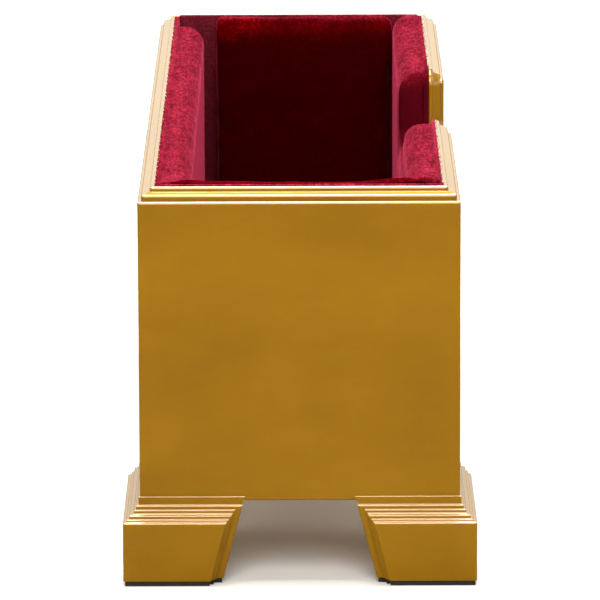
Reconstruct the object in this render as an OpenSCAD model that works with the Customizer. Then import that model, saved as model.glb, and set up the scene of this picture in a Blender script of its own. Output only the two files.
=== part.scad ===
// Long open-topped presentation box on four mitred bracket feet.
// Lacquered fibreboard walls with a stepped rim, a hand notch in one long side, velvet pads inside.
// +X is the notched long side, +Y runs along the length, +Z is up, the floor is at z = 0.

/* [Box] */
// Width across the outer faces of the long walls
body_w = 180; // [160:1:200]
// Length over the outer faces of the end walls
body_l = 572; // [480:1:640]
// Height of the rim above the floor
rim_z = 226; // [200:1:260]
// Thickness of the four walls
wall_t = 9.5; // [9:0.5:11]
// Thickness of the bottom board
board_t = 9.5; // [6:0.5:12]

/* [Rim] */
// Width of the top bead, at the inner side of the wall
bead_w = 2.6; // [2.2:0.1:3]
// Width of the outer ledge
ledge_w = 2.2; // [2:0.1:3]
// Drop from each step of the rim to the next
step_drop = 3.6; // [3:0.05:4]
// How far the broad middle tread rises towards the bead
tread_rise = 1.3; // [0:0.1:2]
// Rounding of the outer edge of each step, and of the box's corners
step_round = 1.4; // [0.6:0.1:1.6]

/* [Hand notch] */
// Width between the notch's end faces at the inner bead
notch_w = 154; // [120:1:180]
// Depth of the notch below the rim
notch_d = 45; // [30:1:60]
// Rounding of the two upper corners, more than the rim's drop and its edge rounding together
notch_top_r = 10; // [10:0.5:14]
// Rounding of the two lower corners
notch_base_r = 12; // [8:1:20]

/* [Feet] */
// Height of the wooden foot's top above the floor
foot_top = 50; // [40:1:60]
// How far the foot's lip laps up over the lower edge of the walls
foot_lip = 2.7; // [1:0.1:4]
// Length of the leg under an end wall, along its top
end_leg_l = 59; // [50:1:70]
// Length of the leg under a long wall, along its top
side_leg_l = 111; // [80:1:140]
// Lean of each leg's free end, in degrees from upright
leg_lean = 14.5; // [5:0.5:20]
// Thickness of the rubber pad under each foot
rubber_t = 3; // [2:0.5:4]
// How far the rubber pad is set back from the wood
rubber_inset = 1; // [0.5:0.5:2]

/* [Lining] */
// Thickness of the velvet-covered card on each wall
lining_t = 3; // [2:0.5:4]
// Thickness of the pads on the long walls
side_pad_t = 16.5; // [12:0.5:20]
// Thickness of the pads on the end walls
end_pad_t = 19; // [14:0.5:24]
// Thickness of the floor pad
floor_pad_t = 9; // [6:0.5:14]
// Rounding of the pads' upper inner edges
pad_round = 10; // [8:1:15]
// Thickness of the velvet cover with its backing
velvet_t = 1.2; // [1:0.1:2]
// Length of the open well beside the far end pad
well_l = 36; // [30:1:50]
// Width of that well, from the lining to the end pad
well_w = 22; // [18:1:30]

/* [Hidden] */
$fn = 64;

gold = "goldenrod";
crimson = "crimson";
half_w = body_w / 2;
half_l = body_l / 2;
inner_x = half_w - wall_t;
inner_y = half_l - wall_t;
over = 5; // how far a cutter runs past what it cuts

// Rim, from the inner bead outwards: [distance in from the wall's outer face, drop, face height]
RIM_STEPS = [
    [wall_t - bead_w, 0, step_drop - tread_rise],
    [ledge_w, step_drop, step_drop],
    [0, 2 * step_drop, rim_z - 2 * step_drop - foot_top + foot_lip + 1]
];

// Foot moulding from the top, one row for each step:
// [distance out from the wall, drop, set back from the leaning end, edge rounding, cove over it]
FOOT_STEPS = [
    [0.8, 0, 0, 0.5, 0],
    [2.2, 4.8, 0, 0.9, 0.4],
    [3.3, 7.3, 3.4, 0.6, 0.4],
    [5.9, 9.8, 4.6, 0.8, 1.3],
    [7.5, 11.9, 6, 0.5, 0.5],
    [9.5, 13.2, 6.8, 0.9, 0.7]
];
foot_out = FOOT_STEPS[5][0];
bead_round = 0.6; // rounding of the rim's inner edge, against the velvet
wall_base = foot_top - foot_lip; // lower edge of the walls
lean_run = tan(leg_lean); // how far the leaning end moves in for each millimetre down

// Inner faces of the lining, the fronts of the pads and the height they stand on
line_x = inner_x - lining_t;
line_y = inner_y - lining_t;
board_top = foot_top + board_t;
pad_z = board_top + floor_pad_t + 0.2;
pad_gap = 0.3; // clearance between neighbouring soft pieces
front_x = line_x - side_pad_t;
front_y = line_y - end_pad_t;
lining_top = rim_z - 0.5;

// Foot blocks and their screws
block_w = 28;
block_l = 60;
block_h = 28;
screw_pitch = 34;
shank_d = 3.5;
head_d = 7;
tip_l = 2;
screw_l = block_h + 7;
bore_d = shank_d + 0.2;
pilot_depth = 7.5; // into the bottom board

// ---- walls -------------------------------------------------------------------------------

// One step of the wall's section, x in from the outer face, with its outer top edge rounded
module step_2d(from, top, r) {
    rise = from == ledge_w ? tread_rise : 0;
    translate([from + r, wall_base]) square([wall_t - from - r, top + rise - wall_base]);
    translate([from, wall_base]) square([r, top - r - wall_base]);
    translate([from + r, top - r]) circle(r);
}

// A square corner cutter that leaves a quarter round of radius r, its corner at the origin
module round_cutter_2d(r) {
    difference() {
        translate([-0.5, -0.5]) square(r + 0.5);
        translate([r, r]) circle(r);
    }
}

// Section of a wall: x in from the outer face, y up, the middle tread sloping up to the bead
module wall_2d() {
    tread = rim_z - step_drop + tread_rise;
    difference() {
        for (s = RIM_STEPS) step_2d(s[0], rim_z - s[1], step_round);
        polygon([
            [ledge_w + step_round, tread - tread_rise], [wall_t - bead_w, tread],
            [wall_t - bead_w, tread + over], [ledge_w + step_round, tread + over]
        ]);
        translate([0, wall_base]) round_cutter_2d(step_round);
        translate([wall_t, rim_z]) rotate(180) round_cutter_2d(bead_round);
    }
}

// The moulded top of that section, its top edge at y = 0, as deep as the notch's upper corners
module rim_2d() {
    translate([0, -rim_z]) intersection() {
        wall_2d();
        translate([0, rim_z - notch_top_r]) square([wall_t, notch_top_r]);
    }
}

// A wall of the given length along x, outer face at y = 0, both ends mitred
module wall(length) {
    difference() {
        intersection() {
            rotate([90, 0, 90]) linear_extrude(length) wall_2d();
            linear_extrude(rim_z + over)
                polygon([[0, 0], [length, 0], [length - wall_t, wall_t], [wall_t, wall_t]]);
        }
        for (s = RIM_STEPS) {
            base = rim_z - s[1] - s[2];
            for (right = [0, 1]) translate([right * length, 0, base]) mirror([right, 0, 0])
                translate([s[0], s[0], 0]) linear_extrude(rim_z + over - base)
                    round_cutter_2d(step_round);
        }
    }
}

module end_panel() {
    color(gold) translate([-half_w, -half_l, 0]) wall(body_w);
}

module side_panel() {
    translate([-half_w, half_l, 0]) rotate([0, 0, -90]) wall(body_l);
}

// The notch seen from the side, x along the wall and y up, made larger all round by grow
module notch_2d(grow) {
    half = notch_w / 2 + grow;
    base = rim_z - notch_d - grow;
    base_r = notch_base_r + grow;
    translate([-half, base + base_r]) square([2 * half, rim_z + over - base - base_r]);
    translate([base_r - half, base]) square([2 * (half - base_r), base_r + 1]);
    for (s = [-1, 1]) translate([s * (half - base_r), base + base_r]) circle(base_r);
}

// The rounding of the notch's two upper corners, made larger with it
module notch_flare_2d(grow) {
    half = notch_w / 2 + grow;
    top = rim_z - grow;
    top_r = notch_top_r - grow;
    for (s = [0, 1]) mirror([s, 0]) difference() {
        translate([half - 1, top - top_r]) square([top_r + 1, top_r + over]);
        translate([half + top_r, top - top_r]) circle(top_r);
    }
}

// The notch as a cutter through the lining and the pad, between two x positions
module notch_cut(from, to, grow) {
    translate([from, 0, 0]) rotate([90, 0, 90]) linear_extrude(to - from) {
        notch_2d(grow);
        notch_flare_2d(grow);
    }
}

// A quarter turn about x of the section given, centred at [y, z], from the arc's first angle
module quarter_turn(at, from) {
    translate([0, at[0], at[1]]) rotate([90, 0, 90]) rotate([0, 0, from])
        rotate_extrude(angle = 90) children();
}

// The rim's moulding carried down, along and up again round the notch, x in from the outer face
module notch_moulding() {
    half = notch_w / 2;
    base = rim_z - notch_d;
    corner_z = base + notch_base_r;
    for (side = [0, 1]) mirror([0, side, 0]) {
        quarter_turn([half + notch_top_r, rim_z - notch_top_r], 90)
            translate([notch_top_r, 0]) mirror([1, -1]) rim_2d();
        translate([0, half, corner_z]) linear_extrude(rim_z - notch_top_r - corner_z)
            mirror([0, 1]) rim_2d();
        quarter_turn([half - notch_base_r, corner_z], -90) translate([notch_base_r, 0]) rotate(90) rim_2d();
    }
    translate([0, half - notch_base_r, base]) rotate([90, 0, 0])
        linear_extrude(2 * (half - notch_base_r)) rim_2d();
}

module side_panel_plain() {
    color(gold) side_panel();
}

// The wall is cut back by the depth of the moulding, which then lines the cut
module side_panel_notched() {
    color(gold) {
        difference() {
            mirror([1, 0, 0]) side_panel();
            translate([inner_x - 1, 0, 0]) rotate([90, 0, 90]) linear_extrude(wall_t + 2)
                notch_2d(notch_top_r);
        }
        translate([half_w, 0, 0]) mirror([1, 0, 0]) notch_moulding();
    }
}

module bottom_board() {
    color("peru") difference() {
        translate([-inner_x, -inner_y, foot_top]) cube([2 * inner_x, 2 * inner_y, board_t]);
        screw_places() translate([0, 0, foot_top - 1]) cylinder(d = bore_d, h = pilot_depth + 1);
    }
}

// ---- feet --------------------------------------------------------------------------------

// Section of the moulding, x out from the wall; which picks the drop (1) or the set back (2)
module moulding_2d(which, depth) {
    for (i = [0 : len(FOOT_STEPS) - 1]) {
        s = FOOT_STEPS[i];
        top = -s[which] * (which == 2 ? cos(leg_lean) : 1);
        translate([-wall_t, -depth]) square([wall_t + s[0] - s[3], depth + top]);
        translate([-wall_t, -depth]) square([wall_t + s[0], depth + top - s[3]]);
        translate([s[0] - s[3], top - s[3]]) circle(s[3]);
        cove = s[4];
        if (cove > 0 && which == 1) difference() {
            translate([FOOT_STEPS[i - 1][0] - 0.1, top - 0.1]) square(cove + 0.1);
            translate([FOOT_STEPS[i - 1][0] + cove, top + cove]) circle(cove);
        }
    }
}

// A leg along +x from the corner of the box, its face towards -y: the moulding runs along its
// top and turns down its leaning end, the corner is mitred, and the wall sits in a rebate
module leg(length) {
    color(gold) difference() {
        intersection() {
            translate([-2 * wall_t, 0, foot_top]) mirror([0, 1, 0]) rotate([90, 0, 90])
                linear_extrude(length + 2 * wall_t) moulding_2d(1, foot_top - rubber_t);
            translate([length, 0, foot_top]) rotate([0, leg_lean, 0])
                translate([0, 0, -2 * foot_top]) linear_extrude(3 * foot_top) rotate(-90)
                    moulding_2d(2, length + 4 * wall_t);
        }
        rotate([0, 0, 45]) translate([-60, 0, -over]) cube([120, 60, foot_top + 2 * over]);
        translate([-over, 0, wall_base]) cube([length + 2 * over, wall_t + over, foot_lip + over]);
        translate([-foot_out, -foot_out, 0]) linear_extrude(foot_top) round_cutter_2d(step_round);
    }
}

// Both legs of a foot share one corner: the side leg is the mirror image across the mitre
module at_corner(sx, sy) {
    mirror([sx > 0 ? 1 : 0, 0, 0]) mirror([0, sy > 0 ? 1 : 0, 0])
        translate([-half_w, -half_l, 0]) children();
}

module end_leg(sx, sy) {
    at_corner(sx, sy) leg(end_leg_l);
}

module side_leg(sx, sy) {
    at_corner(sx, sy) mirror([1, -1, 0]) leg(side_leg_l);
}

// The rubber pad follows both legs' footprints: a strip along each leg for each main layer
module rubber_pad(sx, sy) {
    floor_run = (foot_top - rubber_t) * lean_run + rubber_inset;
    color("dimgray") at_corner(sx, sy) linear_extrude(rubber_t)
        for (s = [FOOT_STEPS[1], FOOT_STEPS[3], FOOT_STEPS[5]]) {
            out = s[0] - rubber_inset;
            back = s[2] + floor_run - out;
            translate([-out, -out]) {
                square([end_leg_l - back, wall_t + out]);
                square([wall_t + out, side_leg_l - back]);
            }
        }
}

// Block glued into the corner of the foot, with two clearance bores
module corner_block(sx, sy) {
    color("burlywood") difference() {
        at_corner(sx, sy) translate([wall_t, wall_t, foot_top - block_h])
            cube([block_w, block_l, block_h]);
        screw_places() translate([0, 0, foot_top - block_h - 1]) cylinder(d = bore_d, h = block_h + 2);
    }
}

// Where the eight foot screws stand
module screw_places() {
    for (sx = [-1, 1], sy = [-1, 1], k = [-1, 1])
        translate([sx * (inner_x - block_w / 2), sy * (inner_y - block_l / 2 + k * screw_pitch / 2), 0])
            children();
}

// Cross-recessed screws, heads up against the blocks from below
module foot_screws() {
    color("silver") screw_places() translate([0, 0, foot_top - block_h]) {
        difference() {
            translate([0, 0, -2.4]) cylinder(d = head_d, h = 2.4);
            for (a = [0, 90]) rotate([0, 0, a]) translate([-2, -0.4, -3]) cube([4, 0.8, 1.8]);
        }
        cylinder(d = shank_d, h = screw_l - tip_l);
        translate([0, 0, screw_l - tip_l]) cylinder(d1 = shank_d, d2 = 0.8, h = tip_l);
    }
}

// ---- lining and pads -----------------------------------------------------------------------

module lining_left() {
    color(crimson) translate([-inner_x, -inner_y, board_top])
        cube([lining_t, 2 * inner_y, lining_top - board_top]);
}

module lining_right() {
    color(crimson) difference() {
        translate([line_x, -inner_y, board_top]) cube([lining_t, 2 * inner_y, lining_top - board_top]);
        notch_cut(line_x - 1, inner_x + 1, 0);
    }
}

module lining_near() {
    color(crimson) translate([-line_x, -inner_y, board_top])
        cube([2 * line_x, lining_t, lining_top - board_top]);
}

module lining_far() {
    mirror([0, 1, 0]) lining_near();
}

// Section of a pad: x out from the lining, y up, upper front edge rounded, smaller by inset
module pad_2d(thick, inset) {
    r = pad_round - inset;
    front = thick - inset;
    base = pad_z + inset;
    top = rim_z - inset;
    translate([0, base]) square([front - r, top - base]);
    translate([front - r - 1, base]) square([r + 1, top - r - base]);
    intersection() {
        translate([front - r, top - r]) circle(r);
        translate([front - r - 1, top - r - 1]) square([r + 2, r + 2]);
    }
}

// A pad standing against the lining, from one place to another along the wall
module pad(thick, from, to, inset) {
    translate([0, from + inset, 0]) rotate([90, 0, 180]) mirror([1, 0, 0])
        linear_extrude(to - from - 2 * inset) pad_2d(thick, inset);
}

// Plan of the near pad between its mitres, each side moved in by clear, as a block past the pads
module near_mitres(clear) {
    past = 0.3;
    half = line_x - clear * norm([side_pad_t, end_pad_t]) / end_pad_t;
    back = half + past * side_pad_t;
    front = half - (1 + past) * side_pad_t;
    translate([0, 0, pad_z - 1]) linear_extrude(rim_z - pad_z + 2)
        polygon([
            [-back, -line_y - past * end_pad_t],
            [back, -line_y - past * end_pad_t],
            [front, past * end_pad_t - front_y],
            [-front, past * end_pad_t - front_y]
        ]);
}

module left_pad(inset) {
    difference() {
        translate([-line_x, 0, 0]) pad(side_pad_t, -line_y, line_y - well_l, inset);
        near_mitres(-pad_gap / 2 - inset);
    }
}

module right_pad(inset) {
    difference() {
        mirror([1, 0, 0]) translate([-line_x, 0, 0])
            pad(side_pad_t, -line_y, line_y - pad_gap, inset);
        notch_cut(front_x - 1, line_x + 1, inset);
        near_mitres(-pad_gap / 2 - inset);
    }
}

module near_pad(inset) {
    intersection() {
        translate([0, -line_y, 0]) rotate([0, 0, 90]) mirror([0, 1, 0])
            pad(end_pad_t, -line_x, line_x, inset);
        near_mitres(pad_gap / 2 + inset);
    }
}

module far_pad(inset) {
    translate([0, line_y, 0]) rotate([0, 0, -90])
        pad(end_pad_t, well_w - line_x, front_x - pad_gap, inset);
}

module floor_pad(inset) {
    translate([pad_gap + inset - line_x, pad_gap + inset - line_y, board_top])
        cube([2 * (line_x - pad_gap - inset), 2 * (line_y - pad_gap - inset), floor_pad_t - inset]);
}

module foam_left() { color("wheat") left_pad(velvet_t); }
module foam_right() { color("wheat") right_pad(velvet_t); }
module foam_near() { color("wheat") near_pad(velvet_t); }
module foam_far() { color("wheat") far_pad(velvet_t); }
module foam_floor() { color("wheat") floor_pad(velvet_t); }

module velvet_left() {
    color(crimson) difference() {
        left_pad(0);
        left_pad(velvet_t);
    }
}

module velvet_right() {
    color(crimson) difference() {
        right_pad(0);
        right_pad(velvet_t);
    }
}

module velvet_near() {
    color(crimson) difference() {
        near_pad(0);
        near_pad(velvet_t);
    }
}

module velvet_far() {
    color(crimson) difference() {
        far_pad(0);
        far_pad(velvet_t);
    }
}

module velvet_floor() {
    color(crimson) difference() {
        floor_pad(0);
        floor_pad(velvet_t);
    }
}

end_panel();  // end_panel_near
mirror([0, 1, 0]) end_panel();  // end_panel_far
side_panel_plain();
side_panel_notched();
bottom_board();
end_leg(-1, -1);  // foot_near_left_end_leg
side_leg(-1, -1);  // foot_near_left_side_leg
end_leg(1, -1);  // foot_near_right_end_leg
side_leg(1, -1);  // foot_near_right_side_leg
end_leg(-1, 1);  // foot_far_left_end_leg
side_leg(-1, 1);  // foot_far_left_side_leg
end_leg(1, 1);  // foot_far_right_end_leg
side_leg(1, 1);  // foot_far_right_side_leg
corner_block(-1, -1);  // corner_block_near_left
corner_block(1, -1);  // corner_block_near_right
corner_block(-1, 1);  // corner_block_far_left
corner_block(1, 1);  // corner_block_far_right
rubber_pad(-1, -1);  // rubber_pad_near_left
rubber_pad(1, -1);  // rubber_pad_near_right
rubber_pad(-1, 1);  // rubber_pad_far_left
rubber_pad(1, 1);  // rubber_pad_far_right
foot_screws();
lining_left();
lining_right();
lining_near();
lining_far();
foam_left();
foam_right();
foam_near();
foam_far();
foam_floor();
velvet_left();
velvet_right();
velvet_near();
velvet_far();
velvet_floor();
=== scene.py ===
import math

import bpy
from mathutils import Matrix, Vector, noise


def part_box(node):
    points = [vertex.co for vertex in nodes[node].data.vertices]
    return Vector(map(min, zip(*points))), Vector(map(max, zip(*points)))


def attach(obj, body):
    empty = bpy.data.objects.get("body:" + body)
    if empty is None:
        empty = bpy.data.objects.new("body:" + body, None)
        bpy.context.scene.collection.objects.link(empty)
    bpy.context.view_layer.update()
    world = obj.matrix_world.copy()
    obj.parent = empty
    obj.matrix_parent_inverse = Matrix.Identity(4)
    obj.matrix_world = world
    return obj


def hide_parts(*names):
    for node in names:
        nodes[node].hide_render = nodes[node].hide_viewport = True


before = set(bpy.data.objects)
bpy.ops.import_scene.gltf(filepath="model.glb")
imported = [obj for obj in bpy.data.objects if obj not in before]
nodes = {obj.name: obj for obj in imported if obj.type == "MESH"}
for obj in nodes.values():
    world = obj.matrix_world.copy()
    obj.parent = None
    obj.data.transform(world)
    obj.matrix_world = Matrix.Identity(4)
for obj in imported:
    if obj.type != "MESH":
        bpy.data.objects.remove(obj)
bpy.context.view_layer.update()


# ---- Studio: camera, floor and light --------------------------------------------------------------
# The box stands on a white floor, seen square on to one end from a long way off and a little above.
# A narrow softbox hangs over it and a large one in front, with others at the sides and behind.

near_face_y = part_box("end_panel_near")[0].y
rim_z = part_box("end_panel_near")[1].z
camera_distance = 3.058
camera_above_rim = 0.630
camera_tilt = math.radians(12.77)
camera_roll = math.radians(-0.19)
camera_data = bpy.data.cameras.new("camera")
camera_data.lens = 337.4
camera_data.sensor_width = 36.0
camera_data.clip_start = 0.1
camera_data.clip_end = 50.0
camera = bpy.data.objects.new("camera", camera_data)
bpy.context.scene.collection.objects.link(camera)
camera.location = (0.0004, near_face_y - camera_distance, rim_z + camera_above_rim)
camera.rotation_euler = (math.radians(90) - camera_tilt, 0.0, 0.0)
camera.rotation_euler.rotate_axis("Z", camera_roll)
bpy.context.scene.camera = camera


def softbox(name, place, target, size, power):
    """A rectangular studio light at a place, turned to face a target."""
    data = bpy.data.lights.new(name, "AREA")
    data.shape = "RECTANGLE"
    data.size, data.size_y = size
    data.energy = power
    light = bpy.data.objects.new(name, data)
    bpy.context.scene.collection.objects.link(light)
    light.location = place
    light.rotation_euler = (Vector(target) - Vector(place)).to_track_quat("-Z", "Y").to_euler()
    return light


softbox("light_overhead", (0.0, 0.16, 2.1), (0.0, 0.1, 0.2), (0.55, 1.3), 66.0)
softbox("light_front", (0.0, -2.0, 1.7), (0.0, -0.3, 0.2), (1.5, 1.4), 40.0)
softbox("light_left", (-2.3, -0.5, 1.2), (0.0, 0.0, 0.1), (0.8, 1.0), 9.0)
softbox("light_right", (2.3, -0.1, 1.2), (0.0, 0.0, 0.1), (0.8, 1.0), 8.0)
softbox("light_back", (0.0, 2.5, 1.6), (0.0, 0.0, 0.1), (1.8, 0.5), 18.0)
bpy.context.scene.view_settings.view_transform = "Standard"


class Value:
    """A number or a node's output that Python's operators work on: each adds its Math node."""

    def __init__(self, tree, item):
        self.tree = tree
        self.item = item

    def math(self, operation, *others):
        node = self.tree.nodes.new("ShaderNodeMath")
        node.operation = operation
        for socket, item in zip(node.inputs, (self, *others)):
            item = item.item if isinstance(item, Value) else item
            if isinstance(item, bpy.types.NodeSocket):
                self.tree.links.new(item, socket)
            else:
                socket.default_value = item
        return Value(self.tree, node.outputs[0])

    def __add__(self, other):
        return self.math("ADD", other)

    __radd__ = __add__

    def __mul__(self, other):
        return self.math("MULTIPLY", other)

    __rmul__ = __mul__

    def __sub__(self, other):
        return self.math("SUBTRACT", other)

    def __rsub__(self, other):
        return Value(self.tree, other).math("SUBTRACT", self)


class Finish:
    """A material with one Principled shader, whose constants are named when it is made."""

    def __init__(self, name, **constants):
        self.material = bpy.data.materials.new(name)
        self.material.use_nodes = True
        self.tree = self.material.node_tree
        self.shader = self.tree.nodes["Principled BSDF"]
        for socket, value in constants.items():
            self.set(socket.replace("_", " "), value)

    def put(self, socket, value):
        value = value.item if isinstance(value, Value) else value
        if isinstance(value, bpy.types.NodeSocket):
            self.tree.links.new(value, socket)
        else:
            socket.default_value = value

    def set(self, socket, value):
        self.put(self.shader.inputs[socket], value)

    def node(self, kind, settings, inputs):
        """Any other node: its type, its settings or a ramp's stops, and its sockets."""
        node = self.tree.nodes.new(kind)
        for key, value in settings.items():
            if key != "stops":
                setattr(node, key, value)
                continue
            while len(node.color_ramp.elements) < len(value):
                node.color_ramp.elements.new(0.5)
            for element, (position, colour) in zip(node.color_ramp.elements, value):
                element.position = position
                element.color = (*colour, 1.0)
        for socket, value in inputs.items():
            self.put(node.inputs[socket], value)
        return node

    def place(self, stretch=(1.0, 1.0, 1.0)):
        """Object coordinates in metres, multiplied by stretch."""
        where = self.node("ShaderNodeTexCoord", {}, {}).outputs["Object"]
        return self.node("ShaderNodeMapping", {}, {"Vector": where, "Scale": stretch}).outputs["Vector"]

    def noise(self, place, scale, detail=3.0, roughness=0.5):
        """Smooth noise round 0.5, with so many swells to a metre."""
        inputs = {"Vector": place, "Scale": scale, "Detail": detail, "Roughness": roughness}
        return Value(self.tree, self.node("ShaderNodeTexNoise", {}, inputs).outputs["Fac"])

    def ramp(self, factor, stops):
        return self.node("ShaderNodeValToRGB", {"stops": stops}, {"Fac": factor}).outputs["Color"]

    def bump(self, height, strength, depth):
        inputs = {"Height": height, "Strength": strength, "Distance": depth}
        self.set("Normal", self.node("ShaderNodeBump", {}, inputs).outputs["Normal"])


def by_ray(tree, kind, usual, special):
    """One shader for most rays, and another for the kind named, as the Light Path node calls it."""
    ray = tree.nodes.new("ShaderNodeLightPath")
    either = tree.nodes.new("ShaderNodeMixShader")
    tree.links.new(ray.outputs[kind], either.inputs[0])
    tree.links.new(usual.outputs[0], either.inputs[1])
    tree.links.new(special.outputs[0], either.inputs[2])
    return either.outputs[0]


# The room is brightest round the horizon, as a white sweep is, and dimmer overhead.
world = bpy.data.worlds.new("studio")
bpy.context.scene.world = world
world.use_nodes = True
room = world.node_tree.nodes["Background"]
up = world.node_tree.nodes.new("ShaderNodeSeparateXYZ")
sweep = world.node_tree.nodes.new("ShaderNodeValToRGB")
room_light = [(0.0, 0.3), (0.42, 1.2), (0.62, 1.2), (0.74, 0.3), (1.0, 0.3)]
while len(sweep.color_ramp.elements) < len(room_light):
    sweep.color_ramp.elements.new(0.5)
for element, (height, light) in zip(sweep.color_ramp.elements, room_light):
    element.position = height
    element.color = (light, 0.96 * light, 0.84 * light, 1.0)
lift = world.node_tree.nodes.new("ShaderNodeMapRange")
lift.inputs["From Min"].default_value = -1.0
where = world.node_tree.nodes.new("ShaderNodeTexCoord")
world.node_tree.links.new(where.outputs["Generated"], up.inputs[0])
world.node_tree.links.new(up.outputs["Z"], lift.inputs["Value"])
world.node_tree.links.new(lift.outputs[0], sweep.inputs[0])
world.node_tree.links.new(sweep.outputs["Color"], room.inputs["Color"])
backdrop = world.node_tree.nodes.new("ShaderNodeBackground")
backdrop.inputs["Color"].default_value = (1.0, 1.0, 1.0, 1.0)
surface = world.node_tree.nodes["World Output"].inputs["Surface"]
world.node_tree.links.new(by_ray(world.node_tree, "Is Camera Ray", room, backdrop), surface)

bpy.ops.object.select_all(action="DESELECT")
bpy.ops.mesh.primitive_plane_add(size=12.0)
floor = bpy.context.object
floor.name = "studio_floor"
floor_white = Finish("floor_white", Base_Color=(0.95, 0.93, 0.90, 1.0), Roughness=0.9, Specular_IOR_Level=0.0)
# In reflections the floor shows dark warm brown instead of white: a painted reflection, so the gold mirrors a
# dark floor.
floor_painted_dark_in_reflections = floor_white.node("ShaderNodeBsdfDiffuse", {}, {"Color": (0.11, 0.088, 0.050, 1.0)})
surface = floor_white.tree.nodes["Material Output"].inputs["Surface"]
floor_white.put(surface, by_ray(floor_white.tree, "Is Glossy Ray", floor_white.shader, floor_painted_dark_in_reflections))
floor.data.materials.append(floor_white.material)


# ---- Walls ------------------------------------------------------------------------------------------
# Four fibreboard walls, mitred and glued, with a stepped and beaded rim and a hand notch in one side.
# They are sprayed with gold lacquer and polished: a metallic colour coat under a hard clear one.

gold_deep = (0.290, 0.136, 0.0040)
gold_middle = (0.322, 0.154, 0.0048)
gold_light = (0.354, 0.172, 0.0056)


def gold_lacquer():
    """Soft clouds of colour from the spray gun, with the board's fine streaks just telling."""
    coat = {"Coat_Weight": 1.0, "Coat_Roughness": 0.03, "Coat_IOR": 1.7}
    finish = Finish("gold_lacquer", Specular_IOR_Level=0.0, **coat)
    clouds = finish.noise(finish.place((1.0, 1.0, 1.5)), 13.0, 3.0, 0.55)
    streaks = finish.noise(finish.place((5.0, 5.0, 240.0)), 9.0, 2.0, 0.6)
    flakes = finish.noise(finish.place(), 1500.0, 1.0, 0.5)
    tone = 0.72 * clouds + 0.12 * streaks + 0.16 * flakes
    finish.set("Base Color", finish.ramp(tone, [(0.34, gold_deep), (0.5, gold_middle), (0.66, gold_light)]))
    finish.set("Metallic", 0.45)
    finish.set("Roughness", 0.30 + 0.12 * clouds)
    finish.bump(finish.noise(finish.place(), 260.0, 2.0, 0.5), 0.08, 0.0002)
    return finish.material


gold = gold_lacquer()
for name in ("end_panel_near", "end_panel_far", "side_panel_plain", "side_panel_notched"):
    nodes[name].material_slots[0].material = gold


# ---- Bottom board -------------------------------------------------------------------------------------
# Bare medium-density fibreboard, sawn to fit between the walls and glued all round.


def fibreboard():
    finish = Finish("fibreboard", Roughness=0.85)
    fibres = 0.6 * finish.noise(finish.place(), 420.0, 4.0, 0.6) + 0.4 * finish.noise(finish.place(), 30.0)
    shades = [(0.36, (0.22, 0.135, 0.07)), (0.5, (0.36, 0.235, 0.13)), (0.64, (0.46, 0.32, 0.19))]
    finish.set("Base Color", finish.ramp(fibres, shades))
    finish.bump(fibres, 0.3, 0.0004)
    return finish.material


nodes["bottom_board"].material_slots[0].material = fibreboard()


# ---- Feet ---------------------------------------------------------------------------------------------
# Each foot is two lengths of stepped moulding mitred at the corner, lacquered with the walls.
# A glue block with two screws holds it from inside, and a black rubber pad is stuck underneath.


def block_wood():
    """Planed softwood, its grain running along the box."""
    finish = Finish("block_wood", Roughness=0.6)
    drift = finish.noise(finish.place((9.0, 1.2, 9.0)), 8.0, 4.0, 0.55)
    rings = finish.node(
        "ShaderNodeTexWave",
        {"wave_type": "RINGS", "rings_direction": "Y"},
        {"Vector": finish.place((1.0, 0.15, 1.0)), "Scale": 90.0, "Distortion": 3.5, "Detail": 2.0},
    )
    grain = 0.65 * Value(finish.tree, rings.outputs["Fac"]) + 0.35 * drift
    shades = [(0.2, (0.52, 0.33, 0.16)), (0.6, (0.66, 0.46, 0.25)), (0.9, (0.74, 0.55, 0.33))]
    finish.set("Base Color", finish.ramp(grain, shades))
    finish.bump(grain, 0.12, 0.0003)
    return finish.material


def pad_rubber():
    finish = Finish("pad_rubber", Specular_IOR_Level=0.3)
    grain = finish.noise(finish.place(), 1400.0, 3.0, 0.6)
    finish.set("Base Color", finish.ramp(grain, [(0.3, (0.008, 0.007, 0.006)), (0.7, (0.030, 0.028, 0.025))]))
    finish.set("Roughness", 0.55 + 0.3 * grain)
    finish.bump(grain, 0.35, 0.0003)
    return finish.material


def screw_steel():
    finish = Finish("screw_steel", Metallic=1.0)
    wear = finish.noise(finish.place(), 700.0, 3.0, 0.6)
    finish.set("Base Color", finish.ramp(wear, [(0.3, (0.46, 0.45, 0.42)), (0.7, (0.72, 0.71, 0.68))]))
    finish.set("Roughness", 0.22 + 0.25 * wear)
    return finish.material


softwood = block_wood()
rubber = pad_rubber()
nodes["foot_screws"].material_slots[0].material = screw_steel()
for end in ("near", "far"):
    for side in ("left", "right"):
        nodes[f"foot_{end}_{side}_end_leg"].material_slots[0].material = gold
        nodes[f"foot_{end}_{side}_side_leg"].material_slots[0].material = gold
        nodes[f"corner_block_{end}_{side}"].material_slots[0].material = softwood
        nodes[f"rubber_pad_{end}_{side}"].material_slots[0].material = rubber


# ---- Linings ------------------------------------------------------------------------------------------
# Crimson velvet glued over thin card, one piece against each wall. They show only in the open well
# at the far left corner and as a narrow line between the pads and the rim.

pile_depth = 0.0011


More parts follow.
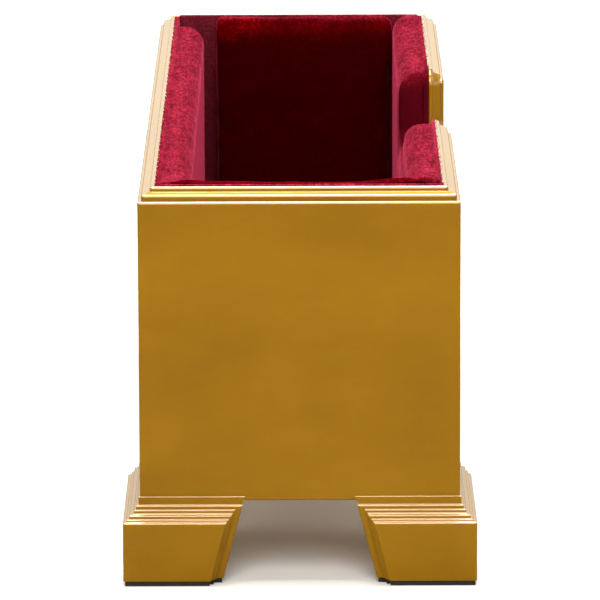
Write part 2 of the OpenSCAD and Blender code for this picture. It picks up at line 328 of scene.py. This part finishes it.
def crimson_velvet(name, shade, sheen, glow, flecks=1.0, strokes=0.0):
    """Short silk pile: dark where it is looked into, bright where it lies edge on, and crushed in
    flecks along the box. Faces that look up get more of the bright pile and upright faces more of
    the dark crushed one: painted shade down the sides and painted light on top. shade is the colour
    of the pile's depth, sheen and glow the strength and colour of its edges, and flecks and strokes
    how clearly it is crushed and brushed."""
    pile = {
        "Roughness": 0.9,
        "Specular IOR Level": 0.0,
        "Sheen Roughness": 0.4,
        "Sheen Tint": (*glow, 1.0),
    }
    finish = Finish(name, Sheen_Weight=sheen)
    for socket, value in pile.items():
        finish.set(socket, value)
    crushed = finish.noise(finish.place((1.0, 0.4, 1.0)), 130.0, 3.0, 0.6)
    tufts = finish.noise(finish.place((1.0, 0.28, 1.0)), 640.0, 2.0, 0.7)
    brushed = finish.noise(finish.place((1.0, 1.0, 3.5)), 14.0, 2.0, 0.6).math("PINGPONG", 0.5)
    mottle = 0.5 + flecks * (0.35 * crushed + 0.65 * tufts - 0.5) + strokes * (brushed - 0.44)
    deep = tuple(0.4 * c for c in shade)
    bright = tuple(1.8 * c for c in shade)
    finish.set("Base Color", finish.ramp(mottle, [(0.40, deep), (0.5, shade), (0.60, bright)]))
    finish.bump(mottle, 0.8, pile_depth)
    # A dark crushed pile is mixed in for the flecks, and also as painted shade on faces that do not look up.
    flat = {"Base Color": (*deep, 1.0), "Sheen Weight": 0.2 * sheen, **pile}
    crushed_pile_and_painted_side_shade = finish.node("ShaderNodeBsdfPrincipled", {}, flat).outputs[0]
    facing = finish.node("ShaderNodeNewGeometry", {}, {}).outputs["Normal"]
    facing_up = Value(finish.tree, finish.node("ShaderNodeSeparateXYZ", {}, {0: facing}).outputs["Z"])
    # Painted light and shade: faces looking straight up get the most of the bright pile, upright faces the
    # least.
    painted_top_light = 0.15 + 0.90 * facing_up.math("MAXIMUM", 0.0)
    flecks_and_painted_top_light = finish.ramp(mottle, [(0.40, (0.0, 0.0, 0.0)), (0.60, (1.0, 1.0, 1.0))])
    flecks_and_painted_top_light = Value(finish.tree, flecks_and_painted_top_light) * painted_top_light
    either = finish.node("ShaderNodeMixShader", {}, {0: flecks_and_painted_top_light, 1: crushed_pile_and_painted_side_shade, 2: finish.shader.outputs[0]})
    finish.put(finish.tree.nodes["Material Output"].inputs["Surface"], either.outputs[0])
    return finish.material


pad_velvet = crimson_velvet("pad_velvet", (0.150, 0.0035, 0.0105), 0.90, (0.95, 0.085, 0.180), 0.6)
# The end linings get a paler copy of the same velvet: painted light.
lining_velvet_painted_light = crimson_velvet("lining_velvet_painted_light", (0.220, 0.0170, 0.0300), 0.7, (0.95, 0.10, 0.15))


def copy_of_node(name, node):
    """A new piece with the shape of a CAD node, its loose triangles joined up, and nothing selected
    but it."""
    bpy.ops.object.select_all(action="DESELECT")
    mesh = nodes[node].data.copy()
    mesh.name = name
    piece = bpy.data.objects.new(name, mesh)
    bpy.context.scene.collection.objects.link(piece)
    bpy.context.view_layer.objects.active = piece
    piece.select_set(True)
    bpy.ops.object.mode_set(mode="EDIT")
    bpy.ops.mesh.select_all(action="SELECT")
    bpy.ops.mesh.customdata_custom_splitnormals_clear()
    bpy.ops.mesh.remove_doubles(threshold=0.00001)
    bpy.ops.object.mode_set(mode="OBJECT")
    mesh.materials.clear()
    return piece


def apply_modifier(piece, kind, **settings):
    modifier = piece.modifiers.new(kind.lower(), kind)
    for key, value in settings.items():
        setattr(modifier, key, value)
    bpy.ops.object.modifier_apply(modifier=modifier.name)


for wall, velvet in (
    ("left", pad_velvet),
    ("right", pad_velvet),
    ("near", lining_velvet_painted_light),
    ("far", lining_velvet_painted_light),
):
    node = f"lining_{wall}"
    lining = copy_of_node(f"velvet_lining_{wall}", node)
    bpy.ops.object.mode_set(mode="EDIT")
    bpy.ops.mesh.select_all(action="SELECT")
    bpy.ops.mesh.dissolve_limited(angle_limit=math.radians(1))
    bpy.ops.object.mode_set(mode="OBJECT")
    for vertex in lining.data.vertices:
        if wall in ("near", "far") and vertex.co.z > rim_z - 0.002:
            vertex.co.z += pile_depth
    apply_modifier(lining, "BEVEL", width=0.0007, segments=3, limit_method="ANGLE")
    bpy.ops.object.shade_smooth_by_angle(angle=math.radians(40))
    lining.data.materials.append(velvet)
    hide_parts(node)
    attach(lining, "root")


# ---- Pads ---------------------------------------------------------------------------------------------
# Firm foam pads wrapped in the same velvet, glued to the linings: one on each long wall, one on each
# end and one on the floor. The right-hand pad dips with the hand notch, and the left-hand and far
# pads stop short of each other, so that a well is left open in the far left corner.

# The near and floor pads get a darker copy of the same velvet, and the far pad another darker, brushed copy:
# painted shade.
near_velvet_painted_dark = crimson_velvet("near_velvet_painted_dark", (0.045, 0.0001, 0.0006), 0.5, (0.95, 0.012, 0.050), 0.6)
far_velvet_painted_dark = crimson_velvet("far_velvet_painted_dark", (0.075, 0.0001, 0.0004), 1.0, (0.95, 0.045, 0.110), 0.6, 0.4)
pad_voxel = 0.004
pad_swell = 0.0022  # how far the velvet may stand proud of the foam's own face
lining_lap = 0.0029  # how far it is carried over the lining's top edge
cloth_frames = 20


def swell(pad):
    """Blows the pad up like a filled cover: Cloth under pressure with no gravity."""
    cloth = pad.modifiers.new("cloth", "CLOTH")
    cloth.settings.quality = 5
    cloth.settings.mass = 0.3
    cloth.settings.tension_stiffness = 12.0
    cloth.settings.compression_stiffness = 12.0
    cloth.settings.bending_stiffness = 0.4
    cloth.settings.use_pressure = True
    cloth.settings.uniform_pressure_force = 4.0
    cloth.settings.shrink_min = -0.02
    cloth.settings.effector_weights.gravity = 0.0
    cloth.collision_settings.use_collision = False
    cloth.point_cache.frame_start = 1
    cloth.point_cache.frame_end = cloth_frames
    for step in range(1, cloth_frames + 1):
        bpy.context.scene.frame_set(step)
    bpy.ops.object.modifier_apply(modifier="cloth")
    bpy.context.scene.frame_set(1)


def wrapped_pad(name, wall, velvet, creases, outward=(0.0, 0.0, 0.0), rise=0.0):
    """A pad in place of the CAD's foam and cover. creases is the depth of its soft hollows, outward
    the way to its wall and rise the height of its top above the rim there."""
    foam, cover = f"foam_{wall}", f"velvet_{wall}"
    pad = copy_of_node(name, foam)
    pad.data.remesh_voxel_size = pad_voxel
    bpy.ops.object.voxel_remesh()
    rest = [vertex.co.copy() for vertex in pad.data.vertices]
    swell(pad)
    low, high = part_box(cover)
    outward = Vector(outward)
    back = max(outward.dot(low), outward.dot(high))
    thickness = abs(outward.dot(high - low))
    for vertex, start in zip(pad.data.vertices, rest):
        move = vertex.co - start
        if move.length > pad_swell:
            move *= pad_swell / move.length
        hollow = noise.noise(start * 28.0) * creases + noise.noise(start * 75.0) * creases * 0.4
        place = start + move + vertex.normal * hollow
        place = Vector([min(max(c, a), b) for c, a, b in zip(place, low, high)])
        if thickness:
            near_wall = max(0.0, 1.0 - (back - outward.dot(place)) / (2.0 * thickness))
            on_top = min(max(vertex.normal.z - 0.1, 0.0) / 0.5, 1.0)
            place += outward * (lining_lap * near_wall**2 * on_top)
            place.z += rise * near_wall * on_top
        vertex.co = place
    apply_modifier(pad, "SUBSURF", levels=1, render_levels=1)
    bpy.ops.object.shade_smooth()
    pad.data.materials.append(velvet)
    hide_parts(foam, cover)
    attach(pad, "root")
    return pad


wrapped_pad("pad_left", "left", pad_velvet, 0.0004, (-1.0, 0.0, 0.0), 0.0016)
wrapped_pad("pad_right", "right", pad_velvet, 0.0004, (1.0, 0.0, 0.0), 0.0016)
wrapped_pad("pad_near", "near", near_velvet_painted_dark, 0.0008, (0.0, -1.0, 0.0), 0.0042)
wrapped_pad("pad_far", "far", far_velvet_painted_dark, 0.0014, (0.0, 1.0, 0.0), 0.0030)
wrapped_pad("pad_floor", "floor", near_velvet_painted_dark, 0.0006)


# ---- Thread ends ------------------------------------------------------------------------------------------
# The velvet's raw edges are tucked down behind the rim's inner bead. The white ends of its backing
# threads stand up from the cut edge, closer together on the side with the notch.

notch_reach = 0.088  # from the middle of the box to where the notched side's rim is level
inner_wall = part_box("lining_right")[1].x
thread_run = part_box("foam_right")[1].y


def backing_thread():
    finish = Finish("backing_thread", Roughness=0.8)
    twist = finish.noise(finish.place(), 900.0, 1.0, 0.5)
    finish.set("Base Color", finish.ramp(twist, [(0.4, (0.32, 0.12, 0.10)), (0.6, (0.90, 0.84, 0.78))]))
    return finish.material


thread_white = backing_thread()


def thread_ends(name, side, start, stop, spacing):
    """A row of short thread ends along one side, from one place to another."""
    bpy.ops.object.select_all(action="DESELECT")
    bpy.ops.mesh.primitive_cylinder_add(vertices=4, radius=0.00014, depth=0.0013)
    threads = bpy.context.object
    threads.name = threads.data.name = name
    threads.rotation_euler = (0.0, side * 0.7, 0.0)
    threads.location = (side * (inner_wall - 0.0001), start, rim_z + 0.0011)
    bpy.ops.object.transform_apply(location=True, rotation=True, scale=True)
    corners = len(threads.data.vertices)
    apply_modifier(
        threads,
        "ARRAY",
        count=int((stop - start) / spacing),
        use_relative_offset=False,
        use_constant_offset=True,
        constant_offset_displace=(0.0, spacing, 0.0),
    )
    for vertex in threads.data.vertices:
        thread = vertex.index // corners
        stray = noise.noise_vector(Vector((0.73 * thread, 1.7 * side, start * 10.0)))
        vertex.co += Vector((0.0003 * stray.x, 0.6 * spacing * stray.y, 0.0009 * stray.z))
    threads.data.materials.append(thread_white)
    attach(threads, "root")


thread_ends("thread_ends_left", -1.0, -thread_run, thread_run, 0.0120)
thread_ends("thread_ends_right_near", 1.0, -thread_run, -notch_reach, 0.0021)
thread_ends("thread_ends_right_far", 1.0, notch_reach, thread_run, 0.0021)
